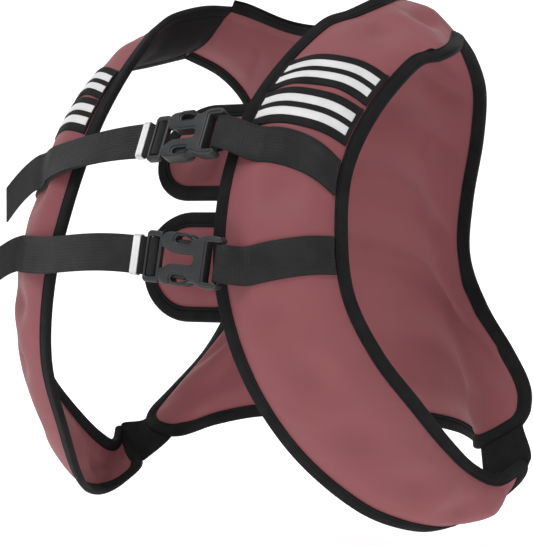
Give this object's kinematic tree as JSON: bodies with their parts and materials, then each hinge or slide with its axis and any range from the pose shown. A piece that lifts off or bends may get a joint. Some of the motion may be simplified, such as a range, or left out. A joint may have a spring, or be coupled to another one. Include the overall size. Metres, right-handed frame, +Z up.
{
  "type": "weighted vest",
  "caption": "Padded weighted vest for exercise: two front panels that sweep round the waist, a back panel, two buckled chest straps, reflective tapes and elastic side links.",
  "frame": {"origin": "midway between the shoulders, at the height where the shoulder parts rest on the wearer", "axes": "+Z up, +X towards the wearer's left, the front faces -Y and the back +Y"},
  "size_m": [0.4372, 0.329, 0.4135],
  "materials": {
    "neoprene": "smooth matt neoprene, dusty maroon",
    "binding": "black woven edge binding",
    "lining": "black knitted lining",
    "tape": "black woven tape",
    "reflective": "retroreflective glass-bead stripe, pale grey",
    "webbing": "charcoal ribbed webbing",
    "buckle": "moulded charcoal acetal, satin",
    "keeper": "pale elastic keeper",
    "elastic": "black knitted elastic"
  },
  "bodies": {
    "root": {"front_panel_left": "neoprene", "front_panel_right": "neoprene", "back_panel": "neoprene", "binding_front_left": "binding", "binding_front_right": "binding", "binding_back": "binding", "binding_neck": "binding", "shoulder_lining_left": "lining", "shoulder_lining_right": "lining", "tape_upper_left": "tape", "tape_lower_left": "tape", "tape_upper_right": "tape", "tape_lower_right": "tape", "stripe_upper_top_left": "reflective", "stripe_upper_bottom_left": "reflective", "stripe_lower_top_left": "reflective", "stripe_lower_bottom_left": "reflective", "stripe_upper_top_right": "reflective", "stripe_upper_bottom_right": "reflective", "stripe_lower_top_right": "reflective", "stripe_lower_bottom_right": "reflective", "webbing_upper_left": "webbing", "webbing_lower_left": "webbing", "webbing_upper_right": "webbing", "webbing_lower_right": "webbing", "buckle_socket_upper": "buckle", "buckle_socket_lower": "buckle", "buckle_plug_upper": "buckle", "buckle_plug_lower": "buckle", "keeper_upper": "keeper", "keeper_lower": "keeper", "chest_flap_upper": "neoprene", "chest_flap_lower": "neoprene", "binding_flap_upper": "binding", "binding_flap_lower": "binding", "side_elastic_left": "elastic", "side_elastic_right": "elastic"}
  },
  "joints": []
}
